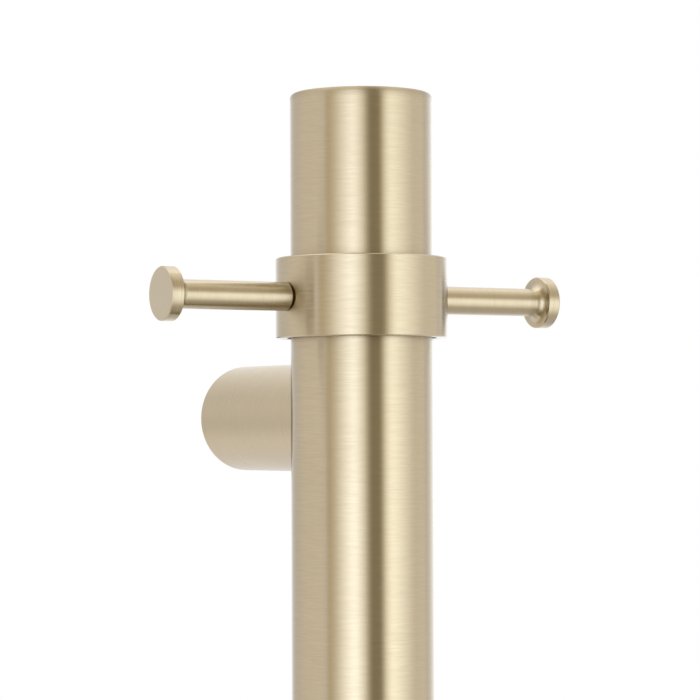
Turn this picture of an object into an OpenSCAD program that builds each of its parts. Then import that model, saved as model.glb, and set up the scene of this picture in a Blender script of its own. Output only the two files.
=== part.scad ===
// Wall-mounted electric towel post: one heated upright tube on two round standoffs,
// with a collar near the top that carries two headed pegs.
// +Z is up, +X is to the right as seen from the room, +Y points into the wall.
// The origin is on the wall plane, midway between the two standoffs.

/* [Post] */
// Outside diameter of the post
post_d = 44; // [42:1:46]
// Wall thickness of the post tube
post_wall = 2; // [2:0.1:2.5]
// Height of the post
post_h = 900; // [800:10:1200]
// Rounding of the post's outer rim
rim_round = 1.5; // [0.5:0.1:1.9]
// Distance from the wall to the post's axis
wall_gap = 75; // [70:1:80]

/* [Standoffs] */
// Outside diameter of a standoff
standoff_d = 34.4; // [32:0.1:36]
// Wall thickness of a standoff
standoff_wall = 2.35; // [2:0.05:2.5]
// Height of a standoff's centre above the bottom of the post, and the same below its top
standoff_inset = 100; // [100:1:130]
// Thickness of the web that seats on the post, at its thinnest
web_t = 7; // [5:0.5:8]

/* [Collar] */
// Outside diameter of the collar
collar_d = 53.2; // [52:0.1:56]
// Height of the collar
collar_h = 24.7; // [22:0.1:30]
// Distance from the top of the post down to the collar's centre
collar_drop = 63.3; // [20:0.1:66]
// Radial thickness of the liner between post and collar
liner_t = 1.15; // [0.8:0.05:1.2]
// How far the liner's ends lie inside the collar's ends
liner_recess = 0.1; // [0.05:0.05:1]

/* [Pegs] */
// Distance from the post's axis to a peg's outer face
peg_reach = 69.2; // [60:0.1:80]
// Diameter of a peg's rod
peg_d = 8.8; // [8:0.1:10]
// Diameter of a peg's head
head_d = 16.3; // [15:0.1:20]
// Thickness of a peg's head
head_t = 4; // [3:0.1:5]
// Radius of the hollow between rod and head
head_fillet = 3; // [1:0.1:3.4]
// Length of the neck that leaves a shadow gap between rod and collar
neck_l = 0.2; // [0.2:0.1:1.5]

/* [Heating] */
// Diameter of the element's sheath
sheath_d = 6.4; // [6:0.1:7]
// Distance between the element's two legs
leg_pitch = 14; // [13:0.5:15]

/* [Hidden] */
$fn = 96;

// Colours
brass = [0.80, 0.71, 0.53];
steel = [0.72, 0.73, 0.75];
black_rubber = [0.10, 0.10, 0.11];
white_nylon = [0.90, 0.90, 0.87];
red_silicone = [0.62, 0.18, 0.12];
live_brown = [0.42, 0.24, 0.12];
neutral_blue = [0.12, 0.30, 0.62];
earth_green = [0.35, 0.58, 0.15];

// Clearances
slip = 0.05;          // radial play of a screw, plug or sliding ring
seat = 0.02;          // gap between two faces that are drawn together
overcut = 1;          // how far a cutter runs past the face it opens

// Post
post_r = post_d / 2;
bore_r = post_r - post_wall;
post_y = -wall_gap;
half_h = post_h / 2;
bracket_z = half_h - standoff_inset;

// End caps and their sealing rings
cap_h = 9;
cap_skin = 3;
cap_wall = 3.9;
cap_chamfer = 0.3;
ring_r = 0.9;
groove_h = 2.2;
groove_z = 5.4;       // middle of the groove below the cap's outer face

// Standoffs and wall plates
standoff_r = standoff_d / 2;
socket_r = standoff_r - standoff_wall;
web_face = post_r + web_t;       // from the post's axis to the web's wall side
plate_r = socket_r - 0.2;
plate_t = 3;
skirt_t = 1.8;
skirt_h = 10;                    // plate and skirt together
wall_screw_x = 8.4;
wall_screw_r = 2.25;
wall_screw_head_r = 3.75;
cable_r = 3;
cable_hole_r = 3.75;
grommet_flange_r = 4.5;
grommet_flange_t = 1.2;
lock_screw_y = 6.5;
lock_screw_r = 2;
lock_screw_l = 4;
lock_screw_sunk = 0.25;
grub_key_share = 0.58;           // a grub screw's socket, as a share of its radius

// Fixings between post and standoffs
block_w = 20;
block_h = 28;
block_face = 9;                  // from the post's axis to the block's front face
washer_t = 1.2;
small_washer_r = 8;
large_washer_r = 11;
cap_bolt_r = 4;
cap_bolt_head_r = 6.5;
cap_bolt_head_h = 8;
cap_bolt_key = 6;
hollow_bolt_r = 6;
hollow_bolt_bore_r = 4;
hollow_bolt_af = 17;
hollow_bolt_head_h = 5;
bolt_end = 8;                    // from the post's axis to the end of either bolt
bolt_seat = web_face + washer_t; // and to the underside of its head
clearance_hole = 0.2;
bush_wall = 0.55;
bush_overhang = 1.4;

// Collar and pegs
collar_r = collar_d / 2;
liner_r0 = post_r + slip;
liner_r1 = liner_r0 + liner_t;
collar_bore_r = liner_r1 + slip;
collar_z = half_h - collar_drop;
collar_chamfer = 0.3;
grub_r = 2;
grub_l = 3;
grub_tip_gap = 0.1;
peg_r = peg_d / 2;
neck_r = 3.2;
head_r = head_d / 2;
head_chamfer = 0.3;
stud_r = 2.5;
stud_l = 12;
stud_start = collar_bore_r + 0.3;

// Heating element
sheath_r = sheath_d / 2;
leg_y = -7;                      // legs stand in front of the post's axis
leg_top = bracket_z + 40;
leg_bottom = -bracket_z + 90;
seal_r = 3.6;
seal_h = 6;
pin_r = 1.2;
pin_l = 18;
spacer_count = 4;
spacer_t = 8;
spacer_arm_w = 5;
spacer_eye_t = 2;                // silicone round each leg
spacer_first = leg_bottom + 30;
spacer_pitch = (bracket_z + 20 - spacer_first) / (spacer_count - 1);

// Leads and their joints
lead_r = 1.1;
crimp_r = 2;
crimp_h = 12;
crimp_bore = pin_r + slip;
crimp_top = leg_bottom - 14;
cutout_r = 2.8;
cutout_h = 16;
cutout_top = crimp_top - crimp_h - 4;
cutout_wire_r = 0.8;
cutout_wire_l = 8;
lower_crimp_top = cutout_top - cutout_h - 4;
lug_z = -10.5;                   // below the lower bracket's axis
lug_r = 4;
lug_t = 0.8;
lug_hole_r = 2.1;
barrel_r = 1.8;
barrel_h = 6;
earth_head_r = 3.5;
earth_head_h = 2.2;
earth_slot_w = 0.9;
earth_screw_end = bore_r - 3;    // inside the nut block

// Terminal block
pole_pitch = 7.6;
block_front = post_y + 46;
block_back = block_front + 12.4;
strip_w = 23.2;
strip_h = 10;
tube_r = 2.7;
tube_bore_r = 1.8;
tube_z = -1;
pole_screw_r = 1.4;
pole_screw_top = 4.6;
pole_screw_foot = 0.9;
pole_screw_ys = [block_front + 3, block_front + 9.4];
tie_screw_r = 0.9;
tie_screw_ys = [block_front + 7, block_front + 5];
tie_screw_head_r = 1.6;
tie_screw_head_h = 1;
tie_screw_foot = -8.5;           // below the block's middle
tie_hole_foot = -9;

// Leads: routes relative to the lower bracket's crossing with the post's axis.
// Each comes down to the hollow bolt, goes through it and ends in its terminal.
bundle = 1.9;                    // from the bolt's axis to the top lead
live_route = [
    [-7, -7, 35.5], [-7, -7, 28], [-6.4, -5.5, 14], [-3.4, -1, 3.5],
    [-1.65, 6, -0.9], [-1.65, 20, -0.95], [-1.65, 35, -0.95],
    [-4.5, 40.5, -1], [-7.6, 46.5, -1], [-7.6, 50, -1]
];
neutral_route = [
    [7, -7, 72], [7, -7, 60], [7, -7, 45], [7, -7, 30], [6.4, -5.5, 14], [3.4, -1, 3.5],
    [1.65, 6, -0.9], [1.65, 20, -0.95], [1.65, 35, -0.95],
    [4.5, 40.5, -1], [7.6, 46.5, -1], [7.6, 50, -1]
];
earth_route = [
    [0, 7.2, -16], [0, 7.2, -20], [0, 7.2, -23], [0, 4.5, -28], [0, -1.5, -29.5], [0, -7, -25],
    [0, -8, -14], [0, -6, -4], [0, -0.5, 0.8], [0, 6, bundle], [0, 20, bundle], [0, 35, bundle],
    [0, 40.5, 0.6], [0, 46.5, -1], [0, 50, -1]
];
lead_sides = 8;
steps_per_point = 4;

// ---------- helpers ----------

// Puts children on the post's axis
module on_post() {
    translate([0, post_y, 0])
        children();
}

// Puts children on a bracket's axis at the post: local +Y still points to the wall
module at_bracket(z) {
    translate([0, post_y, z])
        children();
}

// Cylinder along +Y from y0 to y1
module y_rod(r, y0, y1) {
    translate([0, y0, 0])
        rotate([-90, 0, 0])
            cylinder(r = r, h = y1 - y0);
}

// Ring around Z
module ring(r0, r1, h) {
    difference() {
        cylinder(r = r1, h = h);
        translate([0, 0, -overcut])
            cylinder(r = r0, h = h + 2 * overcut);
    }
}

// Hexagonal prism along +Y from y0 to y1, by its width across flats
module y_hex(flats, y0, y1) {
    translate([0, y0, 0])
        rotate([-90, 0, 0])
            cylinder(r = flats / 2 / cos(30), h = y1 - y0, $fn = 6);
}

// Smooth curve through a route's points
function spline(a, b, c, d, t) =
    0.5 * (2 * b + (c - a) * t + (2 * a - 5 * b + 4 * c - d) * t * t
        + (3 * b - a - 3 * c + d) * t * t * t);
function route_point(p, i) = p[max(0, min(len(p) - 1, i))];
function curve(p) = [
    for (i = [0 : len(p) - 2], s = [0 : steps_per_point - 1])
        spline(route_point(p, i - 1), p[i], p[i + 1], route_point(p, i + 2), s / steps_per_point),
    p[len(p) - 1]
];
function unit(v) = v / norm(v);
function heading(p, i) = unit(route_point(p, i + 1) - route_point(p, i - 1));

// Round lead along a route that never runs along X
module lead(route) {
    path = curve(route);
    last = len(path) - 1;
    points = [
        for (i = [0 : last], k = [0 : lead_sides - 1])
            let (
                side = unit(cross(heading(path, i), [1, 0, 0])),
                up = cross(side, heading(path, i)),
                turn = k * 360 / lead_sides
            )
            path[i] + lead_r * (cos(turn) * side + sin(turn) * up)
    ];
    walls = [
        for (i = [0 : last - 1], k = [0 : lead_sides - 1])
            let (next = (k + 1) % lead_sides)
            [
                i * lead_sides + k,
                (i + 1) * lead_sides + k,
                (i + 1) * lead_sides + next,
                i * lead_sides + next
            ]
    ];
    first_cap = [for (k = [0 : lead_sides - 1]) k];
    last_cap = [for (k = [lead_sides - 1 : -1 : 0]) last * lead_sides + k];
    at_bracket(-bracket_z)
        polyhedron(points = points, faces = concat(walls, [first_cap, last_cap]));
}

// ---------- post ----------

// Tube profile: the outer rim is rounded at both ends
module post_profile() {
    translate([bore_r, -half_h])
        square([post_wall - rim_round, post_h]);
    translate([post_r - rim_round, -half_h + rim_round])
        square([rim_round, post_h - 2 * rim_round]);
    for (s = [-1, 1])
        scale([1, s])
            translate([post_r - rim_round, half_h - rim_round])
                intersection() {
                    circle(r = rim_round);
                    square(rim_round);
                }
}

module post_tube() {
    color(brass)
        difference() {
            on_post()
                rotate_extrude()
                    post_profile();
            at_bracket(bracket_z)
                y_rod(cap_bolt_r + clearance_hole, 0, post_d);
            at_bracket(-bracket_z)
                y_rod(hollow_bolt_r + clearance_hole, 0, post_d);
        }
}

// Plug for the top of the post, its outer face at z = 0
module cap_plug() {
    cap_r = bore_r - slip;
    groove_r = bore_r - 2 * ring_r - 2 * seat - slip;
    difference() {
        union() {
            translate([0, 0, -cap_h])
                cylinder(r = cap_r, h = cap_h - cap_chamfer);
            translate([0, 0, -cap_chamfer])
                cylinder(r1 = cap_r, r2 = cap_r - cap_chamfer, h = cap_chamfer);
        }
        translate([0, 0, -cap_h - overcut])
            cylinder(r = cap_r - cap_wall, h = cap_h - cap_skin + overcut);
        translate([0, 0, -groove_z - groove_h / 2])
            ring(groove_r, cap_r + overcut, groove_h);
    }
}

// Sealing ring in the cap's groove
module cap_ring() {
    translate([0, 0, -groove_z])
        rotate_extrude()
            translate([bore_r - ring_r - seat, 0])
                circle(r = ring_r);
}

module top_cap() {
    color(brass)
        on_post()
            translate([0, 0, half_h])
                cap_plug();
}

module bottom_cap() {
    color(brass)
        on_post()
            translate([0, 0, -half_h])
                mirror([0, 0, 1])
                    cap_plug();
}

module top_cap_seal() {
    color(black_rubber)
        on_post()
            translate([0, 0, half_h])
                cap_ring();
}

module bottom_cap_seal() {
    color(black_rubber)
        on_post()
            translate([0, 0, -half_h])
                mirror([0, 0, 1])
                    cap_ring();
}

// ---------- standoffs and wall plates ----------

// Round tube from the wall to the post, cut to the post's curve, with a web for its bolt
module standoff(z, hole_r) {
    color(brass)
        difference() {
            translate([0, 0, z])
                y_rod(standoff_r, post_y, 0);
            on_post()
                translate([0, 0, z - standoff_d])
                    cylinder(r = post_r + seat, h = 2 * standoff_d);
            translate([0, 0, z])
                y_rod(socket_r, post_y + web_face, overcut);
            at_bracket(z)
                y_rod(hole_r + clearance_hole, 0, web_face + overcut);
            translate([0, -lock_screw_y, z - standoff_r - overcut])
                cylinder(r = lock_screw_r + slip, h = standoff_r);
        }
}

module upper_standoff() {
    standoff(bracket_z, cap_bolt_r);
}

module lower_standoff() {
    standoff(-bracket_z, hollow_bolt_r);
}

// Round plate that two wall screws hold, with a skirt that the standoff slides over
module wall_plate() {
    color(steel)
        difference() {
            y_rod(plate_r, -skirt_h, 0);
            y_rod(plate_r - skirt_t, -skirt_h - overcut, -plate_t);
            for (s = [-1, 1])
                translate([s * wall_screw_x, 0, 0]) {
                    y_rod(wall_screw_r, -plate_t - overcut, overcut);
                    translate([0, -plate_t, 0])
                        rotate([-90, 0, 0])
                            cylinder(
                                r1 = wall_screw_head_r,
                                r2 = wall_screw_r,
                                h = wall_screw_head_r - wall_screw_r
                            );
                }
            y_rod(cable_hole_r, -plate_t - overcut, overcut);
            y_rod(grommet_flange_r + slip, -grommet_flange_t, overcut);
            translate([0, -lock_screw_y, -plate_r - overcut])
                cylinder(r = lock_screw_r + slip, h = 2 * skirt_t + overcut);
        }
}

module upper_wall_plate() {
    translate([0, 0, bracket_z])
        wall_plate();
}

module lower_wall_plate() {
    translate([0, 0, -bracket_z])
        wall_plate();
}

// Rubber ring that guards the supply cable where it comes out of the wall
module cable_grommet() {
    color(black_rubber)
        translate([0, 0, -bracket_z])
            difference() {
                union() {
                    y_rod(grommet_flange_r, -plate_t - grommet_flange_t, -plate_t - seat);
                    y_rod(cable_hole_r - slip, -plate_t - seat, -grommet_flange_t);
                    y_rod(grommet_flange_r, -grommet_flange_t + seat, -seat);
                    y_rod(cable_hole_r - slip, -grommet_flange_t, -grommet_flange_t + seat);
                }
                y_rod(cable_r, -plate_t - grommet_flange_t - overcut, overcut);
            }
}

// Screws under the standoffs, their tips in the skirts of the wall plates
module standoff_grub_screws() {
    color(steel)
        for (z = [bracket_z, -bracket_z])
            translate([0, -lock_screw_y, z - standoff_r + lock_screw_sunk])
                socket_grub(lock_screw_r, lock_screw_l);
}

// Grub screw along +Z, its hexagonal socket at z = 0
module socket_grub(r, l) {
    difference() {
        cylinder(r = r, h = l);
        translate([0, 0, -overcut])
            cylinder(r = r * grub_key_share, h = l / 2 + overcut, $fn = 6);
    }
}

// ---------- fixings inside the post and the standoffs ----------

// Threaded block against the inside of the post
module nut_block(z, hole_r) {
    color(steel)
        at_bracket(z)
            difference() {
                intersection() {
                    translate([0, 0, -block_h / 2])
                        cylinder(r = bore_r - seat, h = block_h);
                    translate([-block_w / 2, block_face, -block_h / 2 - overcut])
                        cube([block_w, bore_r, block_h + 2 * overcut]);
                }
                y_rod(hole_r + slip, 0, post_r);
                if (z < 0)
                    translate([0, 0, lug_z])
                        y_rod(lug_hole_r - slip, 0, post_r);
            }
}

module upper_nut_block() {
    nut_block(bracket_z, cap_bolt_r);
}

module lower_nut_block() {
    nut_block(-bracket_z, hollow_bolt_r);
}

// Socket-head bolt from the upper standoff's web into the post
module upper_post_bolt() {
    color(steel)
        at_bracket(bracket_z)
            difference() {
                union() {
                    y_rod(cap_bolt_r, bolt_end, bolt_seat + overcut);
                    y_rod(cap_bolt_head_r, bolt_seat, bolt_seat + cap_bolt_head_h);
                }
                y_hex(
                    cap_bolt_key,
                    bolt_seat + cap_bolt_head_h / 2,
                    bolt_seat + cap_bolt_head_h + overcut
                );
            }
}

// Hollow bolt that holds the lower standoff and lets the leads through
module lower_hollow_bolt() {
    color(steel)
        at_bracket(-bracket_z)
            difference() {
                union() {
                    y_rod(hollow_bolt_r, bolt_end, bolt_seat + overcut);
                    y_hex(hollow_bolt_af, bolt_seat, bolt_seat + hollow_bolt_head_h);
                }
                y_rod(hollow_bolt_bore_r, 0, bolt_seat + hollow_bolt_head_h + overcut);
            }
}

module bolt_washer(z, hole_r, outer_r) {
    color(steel)
        at_bracket(z)
            difference() {
                y_rod(outer_r, web_face, bolt_seat);
                y_rod(hole_r + clearance_hole, 0, bolt_seat + overcut);
            }
}

module upper_bolt_washer() {
    bolt_washer(bracket_z, cap_bolt_r, small_washer_r);
}

module lower_bolt_washer() {
    bolt_washer(-bracket_z, hollow_bolt_r, large_washer_r);
}

// Nylon tube that keeps the leads off the hollow bolt's edges
module lead_bush() {
    outer = hollow_bolt_bore_r - slip;
    bush_start = bolt_end - bush_overhang;
    bush_end = bolt_seat + hollow_bolt_head_h + bush_overhang;
    color(white_nylon)
        at_bracket(-bracket_z)
            difference() {
                y_rod(outer, bush_start, bush_end);
                y_rod(outer - bush_wall, 0, bush_end + overcut);
            }
}

// ---------- collar and pegs ----------

// Plastic ring that keeps the collar off the post's finish; its ends stay inside the collar
module collar_liner() {
    color(black_rubber)
        on_post()
            translate([0, 0, collar_z - collar_h / 2 + liner_recess])
                ring(liner_r0, liner_r1, collar_h - 2 * liner_recess);
}

module peg_collar() {
    half = collar_h / 2;
    color(brass)
        on_post()
            translate([0, 0, collar_z])
                difference() {
                    union() {
                        translate([0, 0, -half + collar_chamfer])
                            cylinder(r = collar_r, h = collar_h - 2 * collar_chamfer);
                        for (s = [-1, 1])
                            scale([1, 1, s])
                                translate([0, 0, half - collar_chamfer])
                                    cylinder(
                                        r1 = collar_r,
                                        r2 = collar_r - collar_chamfer,
                                        h = collar_chamfer
                                    );
                    }
                    translate([0, 0, -collar_h])
                        cylinder(r = collar_bore_r, h = 2 * collar_h);
                    for (turn = [0, 180])
                        rotate([0, 90, turn])
                            cylinder(r = stud_r + slip, h = collar_d);
                    y_rod(grub_r + slip, 0, collar_d);
                }
}

// Screw at the back of the collar that clamps it on the liner
module collar_grub_screw() {
    tip = liner_r1 + grub_tip_gap;
    color(steel)
        on_post()
            translate([0, tip + grub_l, collar_z])
                rotate([90, 0, 0])
                    socket_grub(grub_r, grub_l);
}

// Turned profile of a peg, along +Y from the post's axis
module peg_profile() {
    seat_x = collar_r + seat;
    rod_x = collar_r + neck_l;
    back_x = peg_reach - head_t;
    translate([0, seat_x])
        square([neck_r, neck_l + overcut]);
    translate([0, rod_x])
        square([peg_r, back_x - rod_x + overcut]);
    difference() {
        translate([0, back_x - head_fillet])
            square([peg_r + head_fillet, head_fillet + overcut]);
        translate([peg_r + head_fillet, back_x - head_fillet])
            circle(r = head_fillet);
    }
    polygon([
        [0, back_x],
        [head_r - head_chamfer, back_x],
        [head_r, back_x + head_chamfer],
        [head_r, peg_reach - head_chamfer],
        [head_r - head_chamfer, peg_reach],
        [0, peg_reach]
    ]);
}

// Peg along +X, bored at its inner end for its stud
module peg() {
    color(brass)
        difference() {
            rotate([0, 90, 0])
                rotate_extrude()
                    peg_profile();
            rotate([0, 90, 0])
                cylinder(r = stud_r + slip, h = stud_start + stud_l + 2 * slip);
        }
}

module left_peg() {
    on_post()
        translate([0, 0, collar_z])
            rotate([0, 0, 180])
                peg();
}

module right_peg() {
    on_post()
        translate([0, 0, collar_z])
            peg();
}

// Threaded studs that join the pegs to the collar
module peg_studs() {
    color(steel)
        on_post()
            translate([0, 0, collar_z])
                for (turn = [0, 180])
                    rotate([0, 90, turn])
                        translate([0, 0, stud_start])
                            cylinder(r = stud_r, h = stud_l);
}

// ---------- heating element ----------

// Puts children at the left and right legs of the element
module at_legs(z) {
    for (s = [-1, 1])
        translate([s * leg_pitch / 2, post_y + leg_y, z])
            children();
}

// Sheathed hairpin: two straight legs and a half turn at the top
module heating_element() {
    color(steel) {
        at_legs(leg_bottom)
            cylinder(r = sheath_r, h = leg_top - leg_bottom);
        translate([0, post_y + leg_y, leg_top])
            rotate([90, 0, 0])
                rotate_extrude(angle = 180)
                    translate([leg_pitch / 2, 0])
                        circle(r = sheath_r);
    }
}

module element_end_seals() {
    color(red_silicone)
        at_legs(leg_bottom - seal_h)
            difference() {
                cylinder(r = seal_r, h = seal_h - seat);
                translate([0, 0, -overcut])
                    cylinder(r = pin_r + slip, h = seal_h + 2 * overcut);
            }
}

module element_pins() {
    color(steel)
        at_legs(leg_bottom - pin_l)
            cylinder(r = pin_r, h = pin_l - seat);
}

// Silicone star that holds the element's legs and stands on the inside of the post
module element_spacer(i) {
    color(red_silicone)
        on_post()
            translate([0, 0, spacer_first + i * spacer_pitch - spacer_t / 2])
                difference() {
                    intersection() {
                        cylinder(r = bore_r - 2 * slip, h = spacer_t);
                        union() {
                            for (turn = [90, 210, 330])
                                rotate([0, 0, turn])
                                    translate([0, -spacer_arm_w / 2, 0])
                                        cube([post_r, spacer_arm_w, spacer_t]);
                            for (s = [-1, 1])
                                translate([s * leg_pitch / 2, leg_y, 0])
                                    cylinder(r = sheath_r + spacer_eye_t, h = spacer_t);
                            translate([-leg_pitch / 2, leg_y - spacer_arm_w / 2, 0])
                                cube([leg_pitch, spacer_arm_w, spacer_t]);
                            translate([-spacer_arm_w / 2, leg_y, 0])
                                cube([spacer_arm_w, -leg_y, spacer_t]);
                        }
                    }
                    for (s = [-1, 1])
                        translate([s * leg_pitch / 2, leg_y, -overcut])
                            cylinder(r = sheath_r + slip, h = spacer_t + 2 * overcut);
                }
}

module element_spacer_1() {
    element_spacer(0);
}

module element_spacer_2() {
    element_spacer(1);
}

module element_spacer_3() {
    element_spacer(2);
}

module element_spacer_4() {
    element_spacer(3);
}

// Cut-out in line with the live lead, below the left leg
module thermal_cutout() {
    color(white_nylon)
        translate([-leg_pitch / 2, post_y + leg_y, 0]) {
            translate([0, 0, cutout_top - cutout_h])
                cylinder(r = cutout_r, h = cutout_h);
            translate([0, 0, cutout_top - cutout_h - cutout_wire_l])
                cylinder(r = cutout_wire_r, h = cutout_h + 2 * cutout_wire_l);
        }
}

// Crimped sleeves: one on each pin, and one below the cut-out
module crimp_joints() {
    color(steel) {
        at_legs(crimp_top - crimp_h)
            ring(crimp_bore, crimp_r, crimp_h);
        translate([-leg_pitch / 2, post_y + leg_y, lower_crimp_top - crimp_h])
            ring(crimp_bore, crimp_r, crimp_h);
    }
}

module live_lead() {
    color(live_brown)
        lead(live_route);
}

module neutral_lead() {
    color(neutral_blue)
        lead(neutral_route);
}

module earth_lead() {
    color(earth_green)
        lead(earth_route);
}

// Ring terminal on the lower nut block, with its barrel pointing down
module earth_lug() {
    ring_y = block_face - seat;
    color(steel)
        at_bracket(-bracket_z)
            translate([0, 0, lug_z])
                difference() {
                    union() {
                        y_rod(lug_r, ring_y - lug_t, ring_y);
                        translate([0, ring_y - barrel_r, -lug_r - barrel_h])
                            cylinder(r = barrel_r, h = barrel_h + lug_t / 2);
                    }
                    y_rod(lug_hole_r, 0, post_r);
                    translate([0, ring_y - barrel_r, -lug_r - barrel_h - overcut])
                        cylinder(r = lead_r + 3 * slip, h = barrel_h);
                }
}

// Slotted pan-head screw that holds the earth lug
module earth_screw() {
    head_face = block_face - seat - lug_t;
    color(steel)
        at_bracket(-bracket_z)
            translate([0, 0, lug_z])
                difference() {
                    union() {
                        y_rod(earth_head_r, head_face - earth_head_h, head_face);
                        y_rod(lug_hole_r - 2 * slip, head_face - seat, earth_screw_end);
                    }
                    translate([-lug_r, head_face - earth_head_h - overcut, -earth_slot_w / 2])
                        cube([2 * lug_r, earth_slot_w + overcut, earth_slot_w]);
                }
}

// ---------- terminals in the lower standoff ----------

module at_terminals() {
    translate([0, 0, -bracket_z])
        children();
}

// Segment of a disc that fills the lower part of the standoff and carries the block
module terminal_carrier() {
    top = -strip_h / 2 - seat;
    color(white_nylon)
        at_terminals()
            difference() {
                intersection() {
                    y_rod(socket_r - slip, block_front, block_back);
                    translate([-standoff_r, block_front - overcut, top - standoff_d])
                        cube([standoff_d, block_back - block_front + 2 * overcut, standoff_d]);
                }
                at_tie_screws()
                    translate([0, 0, tie_hole_foot])
                        cylinder(r = tie_screw_r + slip, h = strip_h);
            }
}

// The two small screws stand between the poles, one on each side of the middle
module at_tie_screws() {
    for (i = [0, 1])
        translate([(2 * i - 1) * pole_pitch / 2, tie_screw_ys[i], 0])
            children();
}

module at_poles() {
    for (i = [-1 : 1])
        translate([i * pole_pitch, 0, 0])
            children();
}

module terminal_block() {
    color(white_nylon)
        at_terminals()
            difference() {
                translate([-strip_w / 2, block_front, -strip_h / 2])
                    cube([strip_w, block_back - block_front, strip_h]);
                at_poles() {
                    translate([0, 0, tube_z])
                        y_rod(tube_r + slip, block_front - overcut, block_back + overcut);
                    for (y = pole_screw_ys)
                        translate([0, y, 0])
                            cylinder(r = pole_screw_r + 2 * slip, h = strip_h);
                }
                at_tie_screws() {
                    translate([0, 0, -strip_h])
                        cylinder(r = tie_screw_r + slip, h = 2 * strip_h);
                    translate([0, 0, strip_h / 2 - tie_screw_head_h])
                        cylinder(r = tie_screw_head_r + slip, h = strip_h);
                }
            }
}

// Brass tubes that join each internal lead to its supply conductor
module terminal_tubes() {
    color(brass)
        at_terminals()
            at_poles()
                difference() {
                    translate([0, 0, tube_z])
                        y_rod(tube_r, block_front + slip, block_back - slip);
                    translate([0, 0, tube_z])
                        y_rod(tube_bore_r, block_front - overcut, block_back + overcut);
                    for (y = pole_screw_ys)
                        translate([0, y, 0])
                            cylinder(r = pole_screw_r + slip, h = strip_h);
                }
}

module terminal_screws() {
    color(steel)
        at_terminals()
            at_poles()
                for (y = pole_screw_ys)
                    translate([0, y, pole_screw_foot])
                        cylinder(r = pole_screw_r, h = pole_screw_top - pole_screw_foot);
}

module carrier_screws() {
    shank_h = strip_h / 2 - tie_screw_head_h - tie_screw_foot;
    color(steel)
        at_terminals()
            at_tie_screws() {
                translate([0, 0, tie_screw_foot])
                    cylinder(r = tie_screw_r, h = shank_h);
                translate([0, 0, strip_h / 2 - tie_screw_head_h])
                    cylinder(r = tie_screw_head_r, h = tie_screw_head_h);
            }
}

post_tube();
top_cap();
bottom_cap();
top_cap_seal();
bottom_cap_seal();
upper_standoff();
lower_standoff();
upper_wall_plate();
lower_wall_plate();
cable_grommet();
standoff_grub_screws();
upper_nut_block();
lower_nut_block();
upper_post_bolt();
lower_hollow_bolt();
upper_bolt_washer();
lower_bolt_washer();
lead_bush();
collar_liner();
peg_collar();
collar_grub_screw();
left_peg();
right_peg();
peg_studs();
heating_element();
element_end_seals();
element_pins();
element_spacer_1();
element_spacer_2();
element_spacer_3();
element_spacer_4();
thermal_cutout();
crimp_joints();
live_lead();
neutral_lead();
earth_lead();
earth_lug();
earth_screw();
terminal_carrier();
terminal_block();
terminal_tubes();
terminal_screws();
carrier_screws();
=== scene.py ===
import math

import bmesh
import bpy
from mathutils import Matrix, Vector


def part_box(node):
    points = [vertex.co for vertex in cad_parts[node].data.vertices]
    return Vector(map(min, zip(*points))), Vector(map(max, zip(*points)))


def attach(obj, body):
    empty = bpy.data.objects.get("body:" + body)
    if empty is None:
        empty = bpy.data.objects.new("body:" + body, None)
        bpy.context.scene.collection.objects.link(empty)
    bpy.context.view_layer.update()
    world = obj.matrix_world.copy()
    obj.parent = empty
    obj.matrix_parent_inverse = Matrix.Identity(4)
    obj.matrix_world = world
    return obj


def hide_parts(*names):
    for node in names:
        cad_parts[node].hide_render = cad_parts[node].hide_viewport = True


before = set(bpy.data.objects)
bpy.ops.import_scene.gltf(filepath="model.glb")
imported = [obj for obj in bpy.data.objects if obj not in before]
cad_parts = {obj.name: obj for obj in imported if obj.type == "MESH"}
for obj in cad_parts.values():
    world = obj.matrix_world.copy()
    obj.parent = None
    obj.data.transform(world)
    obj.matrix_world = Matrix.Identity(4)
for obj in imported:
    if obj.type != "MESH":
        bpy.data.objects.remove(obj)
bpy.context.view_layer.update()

MM = 0.001

X = Vector((1, 0, 0))
Y = Vector((0, 1, 0))
Z = Vector((0, 0, 1))

# Turned shapes
STEPS_LARGE = 256        # round the post and the collar
STEPS_SMALL = 128        # round a peg or a standoff
STEPS_HOLE = 64
STEPS_FLOOR = 96
STEPS_ARC = 12           # along a rounded edge
ON_AXIS = 1e-7           # radius below which a ring is a single point
FLAT_WEIGHT = 100        # how strongly large faces lead the shading
SHARP_ANGLE = math.radians(22)
OVERCUT = 1 * MM         # how far a cutter runs past the face it opens

# Post and cap
RIM_ROUND = 1.5 * MM
POST_WALL = 2 * MM
EASE = 0.12 * MM         # broken edge of a turned part

# Collar, liner and pegs
COLLAR_BORE = 23.25 * MM
COLLAR_CHAMFER = 0.3 * MM
LINER_BORE = 22.05 * MM
STUD_HOLE = 2.55 * MM
STUD_HOLE_DEPTH = 35.65 * MM
GRUB_HOLE = 2.05 * MM
NECK_LENGTH = 0.2 * MM
NECK_RADIUS = 3.2 * MM
ROD_RADIUS = 4.4 * MM
HEAD_THICKNESS = 4 * MM
HEAD_FILLET = 3 * MM
HEAD_CHAMFER = 0.3 * MM

# Standoffs
SOCKET_RADIUS = 14.85 * MM
WEB_FACE = 29 * MM       # from the post's axis
SADDLE_GAP = 0.02 * MM
UPPER_BOLT_HOLE = 4.2 * MM
LOWER_BOLT_HOLE = 6.2 * MM
LOCK_SCREW_Y = -6.5 * MM
LOCK_SCREW_HOLE = 2.05 * MM

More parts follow.
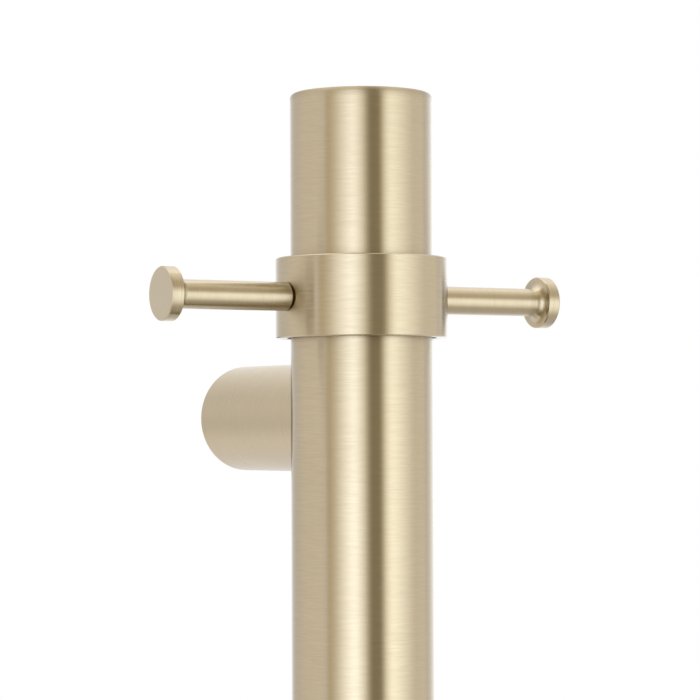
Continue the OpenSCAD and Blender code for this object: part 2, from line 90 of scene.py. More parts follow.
# Brass, with the brushing's own scale in features per metre
BRASS = (0.78, 0.66, 0.45)
# painted light: the same brass made lighter and paler on the pegs' outer faces, for light the studio
# doesn't bring there
LIT_FACE_BRASS = (0.88, 0.775, 0.57)
# painted light: the same brass made a little lighter on the standoffs, for light the studio doesn't
# bring there
LIT_STANDOFF_BRASS = (0.81, 0.685, 0.467)
BRASS_ROUGHNESS = 0.24
STANDOFF_ROUGHNESS = 0.3
STANDOFF_ANISOTROPY = 0.6
BRUSHING_TURN = 0.25     # turns the stretched highlight across the brushing
STREAKS = (120, 1300)    # along and across the brushing
STREAK_SHADE = 0.012
STREAK_ROUGHNESS = 0.025
STREAK_RELIEF = 0.7
HAIRS_ALONG = 160
HAIRS_ACROSS = 2900
HAIR_SHADE = 0.034
METAL_CLOUDS = 26
METAL_CLOUD_ROUGHNESS = 0.02
CLOUD_SHADE = 0.015
BRUSHED_RELIEF = 0.004 * MM
FACE_RELIEF = 0.005 * MM
METAL_BUMP = 0.5
RIM_SHADE = 0.09         # turned lines on the rims of the pegs' heads
RIM_STREAK = 0.02
RIM_HAIRS_ALONG = 25
END_FADE = 3.2 * MM      # the post's finish grows rougher over this length at each end, and darker there as a painted shade that dims the highlight on its rims
# painted shade: share of the post's colour left at its very ends
END_PAINTED_SHADE = 0.96
END_ROUGHNESS = 0.22

# Fine grain of flat faces, moulded materials and the floor, in features per metre
FACE_GRAIN = 2600
FACE_GRAIN_SHADE = 0.03
FACE_ROUGHNESS = (0.32, 0.4)
FACE_CLOUDS = 60
SOLID_CLOUDS = 45
SOLID_SPREAD = 0.05
SOLID_ROUGHNESS_SPREAD = 0.06
SOLID_BUMP = 0.6
NOISE_LOW = 0.3          # most of a noise lies between these two
NOISE_HIGH = 0.7
DETAIL = 3.0
DETAIL_ROUGHNESS = 0.6
FLOOR_COLOUR = (0.86, 0.86, 0.85)
FLOOR_GRAIN = 900
FLOOR_CLOUDS = 3
FLOOR_SHADE = 0.01
FLOOR_ROUGHNESS = 0.8

# Camera
VIEW_AZIMUTH = 30.81     # degrees round the post from straight ahead, towards the left
VIEW_DISTANCE = 0.8210   # from the post's axis, on the level
VIEW_DROP = 0.04036      # below the middle of the collar
VIEW_TILT = 1.703        # degrees upwards
VIEW_TURN = 0.256        # degrees to the left of the post's axis
VIEW_ROLL = -0.235
LENS = 136.65
SENSOR = 36
CLIP_START = 0.05

# Studio light by direction. Round: degrees from the camera's side, positive to its right.
# Height: degrees above the horizon. A softbox fades in over its first two edges and out over
# its last two. The wall lies beyond -59 and +121 degrees, where the light is the wall's own.
SOFTBOXES = (
    # round, height, level, colour
    ((-60, -5, -18, 18), (-60, -12, -2, 30), 1.5, (0.86, 1.0, 1.28)),
    ((27, 49, 50, 96), (-60, -12, -2, 30), 1.14, (0.86, 1.0, 1.2)),
    ((60, 92, 130, 150), (-90, -80, 80, 90), 0.24, (0.85, 1.0, 1.4)),
)
# Start and full are the heights or angles between which a light fades in. Each light ends with
# its level and colour.
CEILING = (42, 66, 0.3, (0.98, 1.0, 0.97))
AMBIENT = (0.44, (1.13, 1.0, 0.76))
FLAG = (1, 18, 26, 39)               # dark flag beside the lens, by the round angle
FLAG_SHARE = 0.52                    # light left in front of the flag
WALL = (0.58, (1.01, 1.0, 1.05))
WALL_SIDE = ((-135, -100, -80, -55), 0.06, (1.3, 1.0, 0.35))   # warmer stretch on the left
WALL_GLOW = (172, 48, 0, 0.58, (0.86, 1.0, 1.25))   # its middle, then degrees away from it
GLOW_HEIGHT = (-62, 5, 15, 60)
WALL_WASH = (20, 55, 0.35, (1.0, 1.0, 1.05))        # light on the wall from above
WALL_FALL = (-30, 25, 1.13, 0.97)    # heights between which the wall changes, and its shares
WALL_LEFT = (-178, -150, -90, -60)   # stretch of the wall that also changes as the next two say
LEFT_MIDDLE = (-8, 14, -0.09, 0.04)  # a little darker below the middle than above it
LEFT_LOW = (-30, -8, 0.24, 0.0)      # lighter near the ground
WALL_SEAM = 0.08                     # half the width of the soft edge between wall and room
GROUND = (-32, -60, 1.0, 0.7)        # the light fades towards the ground
ECHO_DEPTH = (2, 3)                  # ray depths between which the echo sets in
ECHO = 0.5                           # share of the light in a reflection seen in another
FLOOR_RADIUS = 4.0
FLOOR_DROP = 0.05


# ---------- shapes ----------

def arc(centre, radius, start, end, steps):
    """Points on an arc, its angles in degrees."""
    points = []
    for i in range(steps + 1):
        angle = math.radians(start + (end - start) * i / steps)
        points.append((centre[0] + radius * math.cos(angle), centre[1] + radius * math.sin(angle)))
    return points


def turned_frame(origin, axis):
    """Matrix that puts local Z on the axis, through the origin."""
    turn = Z.rotation_difference(axis).to_matrix().to_4x4()
    return Matrix.Translation(origin) @ turn


def add_ring(bm, place, radius, along, steps):
    """One ring of a turned shape, or a single point on its axis."""
    if radius < ON_AXIS:
        return [bm.verts.new(place @ Vector((0, 0, along)))]
    ring = []
    for i in range(steps):
        angle = 2 * math.pi * i / steps
        point = Vector((radius * math.cos(angle), radius * math.sin(angle), along))
        ring.append(bm.verts.new(place @ point))
    return ring


def skin(bm, a, b):
    """Faces between two rings of a turned shape."""
    count = max(len(a), len(b))
    for i in range(count):
        j = (i + 1) % count
        corners = []
        for vert in (a[i % len(a)], a[j % len(a)], b[j % len(b)], b[i % len(b)]):
            if vert not in corners:
                corners.append(vert)
        if len(corners) > 2:
            bm.faces.new(corners)


def turned(name, outline, origin, axis, steps, closed=False):
    """Turned object: outline holds (radius, distance along the axis)."""
    place = turned_frame(origin, axis)
    bm = bmesh.new()
    rings = []
    for radius, along in outline:
        rings.append(add_ring(bm, place, radius, along, steps))
    for a, b in zip(rings, rings[1:]):
        skin(bm, a, b)
    if closed:
        skin(bm, rings[-1], rings[0])
    bmesh.ops.recalc_face_normals(bm, faces=bm.faces)
    mesh = bpy.data.meshes.new(name)
    bm.to_mesh(mesh)
    bm.free()
    piece = bpy.data.objects.new(name, mesh)
    bpy.context.scene.collection.objects.link(piece)
    return piece


def drill(name, origin, axis, radius, length, steps=STEPS_HOLE):
    """Cutter for a round hole."""
    outline = [(0, 0), (radius, 0), (radius, length), (0, length)]
    return turned(name, outline, origin, axis, steps)


def cut(piece, cutters):
    """Takes the cutters' shapes out of the piece."""
    for cutter in cutters:
        step = piece.modifiers.new(cutter.name, "BOOLEAN")
        step.operation = "DIFFERENCE"
        step.solver = "EXACT"
        step.object = cutter
    graph = bpy.context.evaluated_depsgraph_get()
    mesh = bpy.data.meshes.new_from_object(piece.evaluated_get(graph))
    piece.modifiers.clear()
    piece.data = mesh
    for cutter in cutters:
        bpy.data.objects.remove(cutter)


def smooth(piece):
    """Smooth shading that keeps crisp edges and flat faces."""
    mesh = piece.data
    for face in mesh.polygons:
        face.use_smooth = True
    mesh.set_sharp_from_angle(angle=SHARP_ANGLE)
    weigh = piece.modifiers.new("flat faces first", "WEIGHTED_NORMAL")
    weigh.keep_sharp = True
    weigh.weight = FLAT_WEIGHT


def finish_piece(piece, node, body, material):
    """Shading, material and place in the frame of a piece that stands for a CAD node."""
    smooth(piece)
    piece.data.materials.clear()
    piece.data.materials.append(material)
    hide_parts(node)
    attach(piece, body)


def eased_ring(inner, outer, low, high, inner_ease, outer_ease):
    """Outline of a plain ring with its edges broken."""
    return [
        (inner + inner_ease, low),
        (outer - outer_ease, low),
        (outer, low + outer_ease),
        (outer, high - outer_ease),
        (outer - outer_ease, high),
        (inner + inner_ease, high),
        (inner, high - inner_ease),
        (inner, low + inner_ease),
    ]


# ---------- materials ----------

class Paint:
    """A node material being put together."""

    def __init__(self, name):
        self.material = bpy.data.materials.new(name)
        self.material.use_nodes = True
        self.tree = self.material.node_tree
        self.tree.nodes.clear()
        self.shader = self.node("ShaderNodeBsdfPrincipled")
        output = self.node("ShaderNodeOutputMaterial")
        self.link(self.shader.outputs[0], output.inputs["Surface"])
        coordinates = self.node("ShaderNodeTexCoord")
        self.place = coordinates.outputs["Object"]

    def node(self, kind, **settings):
        node = self.tree.nodes.new(kind)
        for key, value in settings.items():
            setattr(node, key, value)
        return node

    def link(self, source, target):
        self.tree.links.new(source, target)

    def set(self, name, value):
        self.shader.inputs[name].default_value = value

    def stretched(self, scale):
        """Object coordinates scaled by axis."""
        mapping = self.node("ShaderNodeMapping")
        mapping.inputs["Scale"].default_value = scale
        self.link(self.place, mapping.inputs["Vector"])
        return mapping.outputs["Vector"]

    def distance_along_z(self, height):
        """Distance above or below a height, in metres."""
        split = self.node("ShaderNodeSeparateXYZ")
        self.link(self.place, split.inputs[0])
        return self.math("ABSOLUTE", self.math("SUBTRACT", split.outputs["Z"], height))

    def noise(self, scale, detail=2.0, roughness=0.5):
        """Noise with its own scale along each axis, in features per metre."""
        texture = self.node("ShaderNodeTexNoise")
        texture.inputs["Scale"].default_value = 1.0
        texture.inputs["Detail"].default_value = detail
        texture.inputs["Roughness"].default_value = roughness
        self.link(self.stretched(scale), texture.inputs["Vector"])
        return texture.outputs["Fac"]

    def grain(self, scale):
        """Fine even noise."""
        return self.noise((scale, scale, scale), DETAIL, DETAIL_ROUGHNESS)

    def clouds(self, scale):
        """Soft even noise."""
        return self.noise((scale, scale, scale))

    def around(self, value, middle_value, spread):
        """Noise remapped to a spread on both sides of a middle value."""
        return self.remap(value, middle_value - spread, middle_value + spread)

    def remap(self, value, low, high, start=NOISE_LOW, end=NOISE_HIGH):
        """Value from start..end to low..high."""
        ranger = self.node("ShaderNodeMapRange")
        ranger.inputs["From Min"].default_value = start
        ranger.inputs["From Max"].default_value = end
        ranger.inputs["To Min"].default_value = low
        ranger.inputs["To Max"].default_value = high
        self.link(value, ranger.inputs["Value"])
        return ranger.outputs["Result"]

    def math(self, operation, *values):
        node = self.node("ShaderNodeMath", operation=operation)
        for socket, value in zip(node.inputs, values):
            if isinstance(value, (int, float)):
                socket.default_value = value
            else:
                self.link(value, socket)
        return node.outputs[0]

    def tint(self, colour, amount):
        """A colour made lighter or darker by a factor."""
        scale = self.node("ShaderNodeVectorMath", operation="SCALE")
        scale.inputs[0].default_value = colour
        self.link(amount, scale.inputs["Scale"])
        return scale.outputs["Vector"]

    def bump(self, height, depth, strength=1.0):
        """Surface relief of a real depth in metres."""
        relief = self.node("ShaderNodeBump")
        relief.inputs["Strength"].default_value = strength
        relief.inputs["Distance"].default_value = depth
        self.link(height, relief.inputs["Height"])
        self.link(relief.outputs["Normal"], self.shader.inputs["Normal"])


def along_axis(axis, along, across):
    """Scale by axis of lines that run round an axis."""
    return tuple(across if name == axis else along for name in "XYZ")


def brushed_metal(
    name,
    axis,
    colour,
    roughness,
    anisotropy=1.0,
    streak=STREAK_SHADE,
    hair=HAIR_SHADE,
    hairs_along=HAIRS_ALONG,
    ends=None,
):
    """Metal brushed or turned round an axis: fine lines, soft streaks and faint clouds.

    Ends are the two heights towards which the finish grows rougher and its colour darker, a painted
    shade that dims the highlight on the rims.
    """
    paint = Paint(name)
    paint.set("Metallic", 1.0)
    paint.set("Anisotropic", anisotropy)
    paint.set("Anisotropic Rotation", BRUSHING_TURN)
    tangent = paint.node("ShaderNodeTangent", direction_type="RADIAL", axis=axis)
    paint.link(tangent.outputs["Tangent"], paint.shader.inputs["Tangent"])
    streaks = paint.noise(along_axis(axis, *STREAKS), DETAIL, DETAIL_ROUGHNESS)
    hairs = paint.noise(along_axis(axis, hairs_along, HAIRS_ACROSS), roughness=DETAIL_ROUGHNESS)
    clouds = paint.clouds(METAL_CLOUDS)
    shade = paint.math("ADD", paint.around(streaks, 0, streak), paint.around(hairs, 0, hair))
    shade = paint.math("ADD", shade, paint.around(clouds, 1, CLOUD_SHADE))
    streak_rough = paint.around(streaks, 0, STREAK_ROUGHNESS)
    rough = paint.math("ADD", streak_rough, paint.around(clouds, 0, METAL_CLOUD_ROUGHNESS))
    rough = paint.math("ADD", rough, roughness)
    if ends:
        from_middle = paint.distance_along_z(sum(ends) / 2)
        span = (ends[1] - ends[0]) / 2
        edges = (span - END_FADE, span - EASE)
        # painted shade: the colour darkens towards the ends, dimming the highlight on the rims
        shade = paint.math("MULTIPLY", shade, paint.remap(from_middle, 1.0, END_PAINTED_SHADE, *edges))
        rough = paint.math("ADD", rough, paint.remap(from_middle, 0.0, END_ROUGHNESS, *edges))
    paint.link(paint.tint(colour, shade), paint.shader.inputs["Base Color"])
    paint.link(rough, paint.shader.inputs["Roughness"])
    relief = paint.math("ADD", paint.math("MULTIPLY", streaks, STREAK_RELIEF), hairs)
    paint.bump(relief, BRUSHED_RELIEF, METAL_BUMP)
    return paint.material


def satin_brass():
    """Flat brass face without a brushing direction, in a lighter and paler copy of the brass that is
    painted light.
    """
    paint = Paint("satin_brass_face")
    paint.set("Metallic", 1.0)
    grain = paint.grain(FACE_GRAIN)
    clouds = paint.clouds(FACE_CLOUDS)
    grain_shade = paint.around(grain, 0, FACE_GRAIN_SHADE)
    shade = paint.math("ADD", grain_shade, paint.around(clouds, 1, CLOUD_SHADE))
    paint.link(paint.tint(LIT_FACE_BRASS, shade), paint.shader.inputs["Base Color"])
    paint.link(paint.remap(grain, *FACE_ROUGHNESS), paint.shader.inputs["Roughness"])
    paint.bump(grain, FACE_RELIEF, METAL_BUMP)
    return paint.material


def plain_solid(name, colour, roughness, grain_scale, relief):
    """Moulded material with a fine grain and faint clouds."""
    paint = Paint(name)
    grain = paint.grain(grain_scale)
    clouds = paint.clouds(SOLID_CLOUDS)
    grain_shade = paint.around(grain, 0, SOLID_SPREAD)
    shade = paint.math("ADD", grain_shade, paint.around(clouds, 1, SOLID_SPREAD))
    paint.link(paint.tint(colour, shade), paint.shader.inputs["Base Color"])
    rough = paint.around(clouds, roughness, SOLID_ROUGHNESS_SPREAD)
    paint.link(rough, paint.shader.inputs["Roughness"])
    paint.bump(grain, relief, SOLID_BUMP)
    return paint.material


def brushed_brass(axis):
    name = f"brushed_brass_round_{axis}"
    return brushed_metal(name, axis, BRASS, BRASS_ROUGHNESS)


def post_brass():
    """The post's brass, rougher towards its ends and darker there with a painted shade that dims the
    highlight on its rims.
    """
    low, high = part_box("post_tube")
    ends = (low.z, high.z)
    return brushed_metal("brushed_brass_post", "Z", BRASS, BRASS_ROUGHNESS, ends=ends)


def standoff_brass():
    # painted light: the standoffs' brass is a lighter copy of the post's brass
    name = "brushed_brass_round_Y"
    return brushed_metal(name, "Y", LIT_STANDOFF_BRASS, STANDOFF_ROUGHNESS, STANDOFF_ANISOTROPY)


def rim_brass():
    """Brass with turned lines, for the rims of the pegs' heads."""
    return brushed_metal(
        "turned_brass_rim",
        "X",
        BRASS,
        BRASS_ROUGHNESS,
        streak=RIM_STREAK,
        hair=RIM_SHADE,
        hairs_along=RIM_HAIRS_ALONG,
    )


# axis, colour, roughness, anisotropy, streaks
HIDDEN_METALS = {
    "zinc_steel": ("Y", (0.56, 0.57, 0.59), 0.35, 0.7, 0.05),
    "sheath_steel": ("Z", (0.42, 0.39, 0.35), 0.5, 0.6, 0.08),
    "terminal_brass": ("Y", (0.75, 0.55, 0.25), 0.3, 0.5, 0.04),
}

# colour, roughness, grain in features per metre, relief
PLAIN_SOLIDS = {
    "black_liner": ((0.008, 0.0075, 0.007), 0.75, 3000, 0.01 * MM),
    "black_rubber": ((0.018, 0.018, 0.018), 0.62, 2200, 0.02 * MM),
    "red_silicone": ((0.36, 0.035, 0.018), 0.5, 1800, 0.01 * MM),
    "white_nylon": ((0.72, 0.71, 0.66), 0.4, 2500, 0.01 * MM),
    "brown_insulation": ((0.13, 0.05, 0.018), 0.4, 2500, 0.01 * MM),
    "blue_insulation": ((0.016, 0.07, 0.32), 0.4, 2500, 0.01 * MM),
    "green_insulation": ((0.1, 0.28, 0.02), 0.4, 2500, 0.01 * MM),
}


def make_materials():
    paints = {
        "brass_post": post_brass(),
        "brass_z": brushed_brass("Z"),
        "brass_x": brushed_brass("X"),
        "brass_y": standoff_brass(),
        "brass_face": satin_brass(),
        "brass_rim": rim_brass(),
    }
    for name, recipe in HIDDEN_METALS.items():
        paints[name] = brushed_metal(name, *recipe)
    for name, recipe in PLAIN_SOLIDS.items():
        paints[name] = plain_solid(name, *recipe)
    return paints


# ---------- pieces ----------

def middle(node):
    low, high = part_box(node)
    return (low + high) / 2


def make_post(paints):
    low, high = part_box("post_tube")
    radius = (high.x - low.x) / 2
    bore = radius - POST_WALL
    axis_point = Vector((0, middle("post_tube").y, 0))
    outline = [(bore, low.z)]
    outline += arc((radius - RIM_ROUND, low.z + RIM_ROUND), RIM_ROUND, -90, 0, STEPS_ARC)
    outline += arc((radius - RIM_ROUND, high.z - RIM_ROUND), RIM_ROUND, 0, 90, STEPS_ARC)
    outline += [(bore, high.z)]
    post = turned("post", outline, axis_point, Z, STEPS_LARGE, closed=True)
    holes = []
    for node, hole in (("upper_standoff", UPPER_BOLT_HOLE), ("lower_standoff", LOWER_BOLT_HOLE)):
        start = Vector((0, axis_point.y, middle(node).z))
        holes.append(drill(f"post_hole_{node}", start, Y, hole, 2 * radius))
    cut(post, holes)
    finish_piece(post, "post_tube", "root", paints["brass_post"])


def make_standoff(name, node, bolt_hole, paints):
    low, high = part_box(node)
    radius = (high.x - low.x) / 2
    centre_z = (low.z + high.z) / 2
    post_low, post_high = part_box("post_tube")
    post_y = (post_low.y + post_high.y) / 2
    post_radius = (post_high.x - post_low.x) / 2
    origin = Vector((0, 0, centre_z))
    web = post_y + WEB_FACE
    outline = [
        (0, post_y),
        (radius, post_y),
        (radius, -EASE),
        (radius - EASE, 0),
        (SOCKET_RADIUS + EASE, 0),
        (SOCKET_RADIUS, -EASE),
        (SOCKET_RADIUS, web),
        (0, web),
    ]
    standoff = turned(name, outline, origin, Y, STEPS_SMALL)
    saddle_start = Vector((0, post_y, low.z - OVERCUT))
    saddle_length = high.z - low.z + 2 * OVERCUT
    bolt_start = Vector((0, post_y, centre_z))
    screw_start = Vector((0, LOCK_SCREW_Y, low.z - OVERCUT))
    screw_length = radius - SOCKET_RADIUS + 3 * OVERCUT
    cutters = [
        drill(f"{name}_saddle", saddle_start, Z, post_radius + SADDLE_GAP, saddle_length, STEPS_LARGE),
        drill(f"{name}_bolt_hole", bolt_start, Y, bolt_hole, WEB_FACE + OVERCUT),
        drill(f"{name}_screw_hole", screw_start, Z, LOCK_SCREW_HOLE, screw_length),
    ]
    cut(standoff, cutters)
    finish_piece(standoff, node, "root", paints["brass_y"])


def make_collar(paints):
    low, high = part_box("peg_collar")
    radius = (high.x - low.x) / 2
    centre = middle("peg_collar")
    origin = Vector((0, middle("post_tube").y, 0))
    outline = eased_ring(COLLAR_BORE, radius, low.z, high.z, EASE, COLLAR_CHAMFER)
    collar = turned("collar", outline, origin, Z, STEPS_LARGE, closed=True)
    start = Vector((0, origin.y, centre.z))
    cutters = [
        drill("collar_left_hole", start, -X, STUD_HOLE, 2 * radius),
        drill("collar_right_hole", start, X, STUD_HOLE, 2 * radius),
        drill("collar_rear_hole", start, Y, GRUB_HOLE, 2 * radius),
    ]
    cut(collar, cutters)
    finish_piece(collar, "peg_collar", "collar", paints["brass_z"])


def make_liner(paints):
    low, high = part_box("collar_liner")
    radius = (high.x - low.x) / 2
    origin = Vector((0, middle("post_tube").y, 0))
    outline = eased_ring(LINER_BORE, radius, low.z, high.z, EASE, EASE)
    liner = turned("liner", outline, origin, Z, STEPS_LARGE, closed=True)
    finish_piece(liner, "collar_liner", "liner", paints["black_liner"])


def peg_outline(start, reach, head_radius):
    """Peg from its neck at the collar to its head's outer face, with a blind hole for its stud."""
    back = reach - HEAD_THICKNESS
    rod_start = start + NECK_LENGTH
    hollow = (ROD_RADIUS + HEAD_FILLET, back - HEAD_FILLET)
    outline = [
        (0, STUD_HOLE_DEPTH),
        (STUD_HOLE, STUD_HOLE_DEPTH),
        (STUD_HOLE, start),
        (NECK_RADIUS, start),
        (NECK_RADIUS, rod_start),
        (ROD_RADIUS - EASE, rod_start),
        (ROD_RADIUS, rod_start + EASE),
    ]
    outline += arc(hollow, HEAD_FILLET, 180, 90, STEPS_ARC)
    outline += [
        (head_radius - HEAD_CHAMFER, back),
        (head_radius, back + HEAD_CHAMFER),
        (head_radius, reach - HEAD_CHAMFER),
        (head_radius - HEAD_CHAMFER, reach),
        (0, reach),
    ]
    return outline


def make_peg(name, node, direction, paints):
    low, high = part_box(node)
    reach = max(abs(low.x), abs(high.x))
    start = min(abs(low.x), abs(high.x))
    origin = Vector((0, middle("post_tube").y, middle(node).z))
    outline = peg_outline(start, reach, (high.z - low.z) / 2)
    peg = turned(name, outline, origin, direction, STEPS_SMALL)
    finish_piece(peg, node, "collar", paints["brass_x"])
    peg.data.materials.append(paints["brass_face"])
    peg.data.materials.append(paints["brass_rim"])
    for face in peg.data.polygons:
        along = (face.center - origin).dot(direction)
        if along > reach - EASE:
            face.material_index = 1
        elif along > reach - HEAD_THICKNESS + EASE:
            face.material_index = 2


CARRIED_OVER = {
    "brass_z": ["top_cap", "bottom_cap"],
    "zinc_steel": [
        "upper_wall_plate", "lower_wall_plate", "standoff_grub_screws", "collar_grub_screw",
        "upper_nut_block", "lower_nut_block", "upper_post_bolt", "lower_hollow_bolt",
        "upper_bolt_washer", "lower_bolt_washer", "peg_studs", "earth_lug", "earth_screw",
        "crimp_joints", "terminal_screws", "carrier_screws",
    ],
    "sheath_steel": ["heating_element", "element_pins"],
    "terminal_brass": ["terminal_tubes"],
    "black_rubber": ["top_cap_seal", "bottom_cap_seal", "cable_grommet"],
    "red_silicone": [
        "element_end_seals", "element_spacer_1", "element_spacer_2", "element_spacer_3",
        "element_spacer_4",
    ],
    "white_nylon": ["thermal_cutout", "lead_bush", "terminal_carrier", "terminal_block"],
    "brown_insulation": ["live_lead"],
    "blue_insulation": ["neutral_lead"],
    "green_insulation": ["earth_lead"],
}


def paint_carried_over(paints):
    """Better materials for the CAD nodes that stay."""
    for paint, nodes in CARRIED_OVER.items():
        for name in nodes:
            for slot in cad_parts[name].material_slots:
                slot.material = paints[paint]


# ---------- studio ----------

def view_basis():
    """Level directions towards the camera and to its right."""
    angle = math.radians(VIEW_AZIMUTH)
    towards = Vector((-math.sin(angle), -math.cos(angle), 0))
    right = Vector((math.cos(angle), -math.sin(angle), 0))
    return towards, right


class Sky:
    """World light being put together from directions."""

    def __init__(self, tree):
        self.tree = tree
        coordinates = tree.nodes.new("ShaderNodeTexCoord")
        self.direction = coordinates.outputs["Generated"]

    def math(self, operation, *values):
        node = self.tree.nodes.new("ShaderNodeMath")
        node.operation = operation
        for socket, value in zip(node.inputs, values):
            if isinstance(value, (int, float)):
                socket.default_value = value
            else:
                self.tree.links.new(value, socket)
        return node.outputs[0]

    def along(self, vector):
        """How far the direction points along a vector."""
        node = self.tree.nodes.new("ShaderNodeVectorMath")
        node.operation = "DOT_PRODUCT"
        node.inputs[1].default_value = vector
        self.tree.links.new(self.direction, node.inputs[0])
        return node.outputs["Value"]

    def fade(self, value, start, end, low=0.0, high=1.0):
        """Smooth change from low to high while the value goes from start to end."""
        node = self.tree.nodes.new("ShaderNodeMapRange")
        node.interpolation_type = "SMOOTHSTEP"
        node.inputs["From Min"].default_value = start
        node.inputs["From Max"].default_value = end
        node.inputs["To Min"].default_value = low
        node.inputs["To Max"].default_value = high
        self.tree.links.new(value, node.inputs["Value"])
        return node.outputs["Result"]

    def band(self, value, edges):
        """Fades in over the first two edges and out over the last two."""
        rise = self.fade(value, edges[0], edges[1])
        fall = self.fade(value, edges[3], edges[2])
        return self.math("MULTIPLY", rise, fall)

    def plain(self, level, colour):
        """The same light from every direction."""
        node = self.tree.nodes.new("ShaderNodeCombineXYZ")
        for socket, channel in zip(node.inputs, colour):
            socket.default_value = level * channel
        return node.outputs["Vector"]

    def angle_from(self, angle, middle_angle):
        """How many degrees an angle lies from another, either way round."""
        turned_by = self.math("SUBTRACT", angle, middle_angle)
        return self.math("ABSOLUTE", self.math("WRAP", turned_by, 180, -180))

    def coloured(self, share, level, colour):
        """A colour scaled by a share and a level."""
        node = self.tree.nodes.new("ShaderNodeVectorMath")
        node.operation = "SCALE"
        node.inputs[0].default_value = [level * channel for channel in colour]
        self.tree.links.new(share, node.inputs["Scale"])
        return node.outputs["Vector"]

    def scaled(self, light, share):
        node = self.tree.nodes.new("ShaderNodeVectorMath")
        node.operation = "SCALE"
        self.tree.links.new(light, node.inputs[0])
        self.tree.links.new(share, node.inputs["Scale"])
        return node.outputs["Vector"]

    def total(self, lights):
        result = lights[0]
        for light in lights[1:]:
            node = self.tree.nodes.new("ShaderNodeVectorMath")
            node.operation = "ADD"
            self.tree.links.new(result, node.inputs[0])
            self.tree.links.new(light, node.inputs[1])
            result = node.outputs["Vector"]
        return result


def room_light(sky, azimuth, height):
    """Softboxes and ambient light, less what the flag holds back."""
    lights = []
    for edges, heights, level, colour in SOFTBOXES:
        share = sky.math("MULTIPLY", sky.band(azimuth, edges), sky.band(height, heights))
        lights.append(sky.coloured(share, level, colour))
    lights.append(sky.plain(*AMBIENT))
    held_back = sky.math("MULTIPLY", sky.band(azimuth, FLAG), 1 - FLAG_SHARE)
    return sky.scaled(sky.total(lights), sky.math("SUBTRACT", 1.0, held_back))


def wall_light(sky, azimuth, height):
    """Light from the wall behind the part."""
    middle_angle, start, full, level, colour = WALL_GLOW
    behind = sky.fade(sky.angle_from(azimuth, middle_angle), start, full)
    glow_share = sky.math("MULTIPLY", behind, sky.band(height, GLOW_HEIGHT))
    glow = sky.coloured(glow_share, level, colour)
    edges, level, colour = WALL_SIDE
    side = sky.coloured(sky.band(azimuth, edges), level, colour)
    start, full, level, colour = WALL_WASH
    wash = sky.coloured(sky.fade(height, start, full), level, colour)
    left_height = sky.math("ADD", sky.fade(height, *LEFT_MIDDLE), sky.fade(height, *LEFT_LOW))
    left = sky.math("MULTIPLY", sky.band(azimuth, WALL_LEFT), left_height)
    fall = sky.math("MULTIPLY", sky.fade(height, *WALL_FALL), sky.math("ADD", left, 1.0))
    return sky.scaled(sky.total([sky.plain(*WALL), glow, side, wash]), fall)


def studio_light(sky):
    """Light from the room and from the wall by direction, weaker in repeated reflections."""
    towards, right = view_basis()
    azimuth = sky.math("DEGREES", sky.math("ARCTAN2", sky.along(right), sky.along(towards)))
    height = sky.math("DEGREES", sky.math("ARCSINE", sky.along(Z)))
    wall = sky.fade(sky.along(Y), -WALL_SEAM, WALL_SEAM)
    room = sky.math("SUBTRACT", 1.0, wall)
    from_room = sky.scaled(room_light(sky, azimuth, height), room)
    from_wall = sky.scaled(wall_light(sky, azimuth, height), wall)
    start, full, level, colour = CEILING
    ceiling = sky.coloured(sky.fade(height, start, full), level, colour)
    rays = sky.tree.nodes.new("ShaderNodeLightPath")
    echo = sky.fade(rays.outputs["Ray Depth"], *ECHO_DEPTH, 1.0, ECHO)
    share = sky.math("MULTIPLY", echo, sky.fade(height, *GROUND))
    return sky.scaled(sky.total([from_room, from_wall, ceiling]), share)


def make_world():
    """White backdrop behind the part, and the studio light that falls on it."""
    world = bpy.data.worlds.new("studio")
    bpy.context.scene.world = world
    world.use_nodes = True
    tree = world.node_tree
    tree.nodes.clear()
    studio = tree.nodes.new("ShaderNodeBackground")
    tree.links.new(studio_light(Sky(tree)), studio.inputs["Color"])
    backdrop = tree.nodes.new("ShaderNodeBackground")
    backdrop.inputs["Color"].default_value = (1, 1, 1, 1)
    rays = tree.nodes.new("ShaderNodeLightPath")
    mixer = tree.nodes.new("ShaderNodeMixShader")
    tree.links.new(rays.outputs["Is Camera Ray"], mixer.inputs[0])
    tree.links.new(studio.outputs[0], mixer.inputs[1])
    tree.links.new(backdrop.outputs[0], mixer.inputs[2])
    output = tree.nodes.new("ShaderNodeOutputWorld")
    tree.links.new(mixer.outputs[0], output.inputs["Surface"])


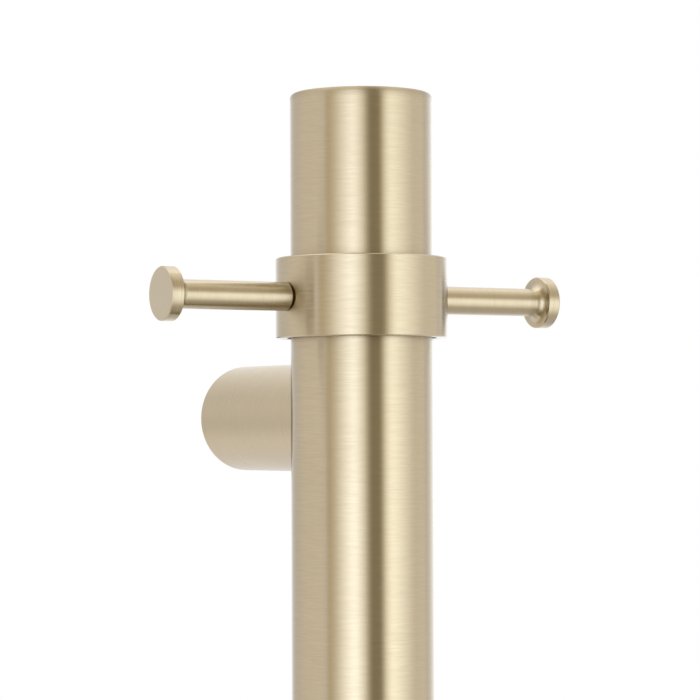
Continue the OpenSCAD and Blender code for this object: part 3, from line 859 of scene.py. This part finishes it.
def make_floor():
    low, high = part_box("post_tube")
    origin = Vector((0, 0, low.z - FLOOR_DROP))
    floor = turned("floor", [(0, 0), (FLOOR_RADIUS, 0)], origin, Z, STEPS_FLOOR)
    floor.data.flip_normals()
    paint = Paint("pale_floor")
    grain_shade = paint.around(paint.grain(FLOOR_GRAIN), 0, FLOOR_SHADE)
    cloud_shade = paint.around(paint.clouds(FLOOR_CLOUDS), 1, FLOOR_SHADE)
    shade = paint.math("ADD", grain_shade, cloud_shade)
    paint.link(paint.tint(FLOOR_COLOUR, shade), paint.shader.inputs["Base Color"])
    paint.set("Roughness", FLOOR_ROUGHNESS)
    floor.data.materials.append(paint.material)
    floor.visible_glossy = False


def make_camera():
    towards, right = view_basis()
    axis_point = Vector((0, middle("post_tube").y, middle("peg_collar").z - VIEW_DROP))
    data = bpy.data.cameras.new("camera")
    data.lens = LENS
    data.sensor_width = SENSOR
    data.clip_start = CLIP_START
    camera = bpy.data.objects.new("camera", data)
    bpy.context.scene.collection.objects.link(camera)
    level = (-towards) @ Matrix.Rotation(math.radians(VIEW_TURN), 3, "Z").transposed()
    tilt = math.radians(VIEW_TILT)
    ahead = level * math.cos(tilt) + Z * math.sin(tilt)
    across = ahead.cross(Z).normalized()
    up = across.cross(ahead)
    turn = Matrix((across, up, -ahead)).transposed()
    roll = Matrix.Rotation(math.radians(VIEW_ROLL), 3, "Z")
    place = Matrix.Translation(axis_point + towards * VIEW_DISTANCE)
    camera.matrix_world = place @ (turn @ roll).to_4x4()
    bpy.context.scene.camera = camera


def make_all():
    bpy.context.scene.view_settings.view_transform = "Standard"
    make_camera()
    make_world()
    make_floor()
    paints = make_materials()
    make_post(paints)
    make_standoff("upper_stub", "upper_standoff", UPPER_BOLT_HOLE, paints)
    make_standoff("lower_stub", "lower_standoff", LOWER_BOLT_HOLE, paints)
    make_collar(paints)
    make_liner(paints)
    make_peg("peg_left", "left_peg", -X, paints)
    make_peg("peg_right", "right_peg", X, paints)
    paint_carried_over(paints)


make_all()
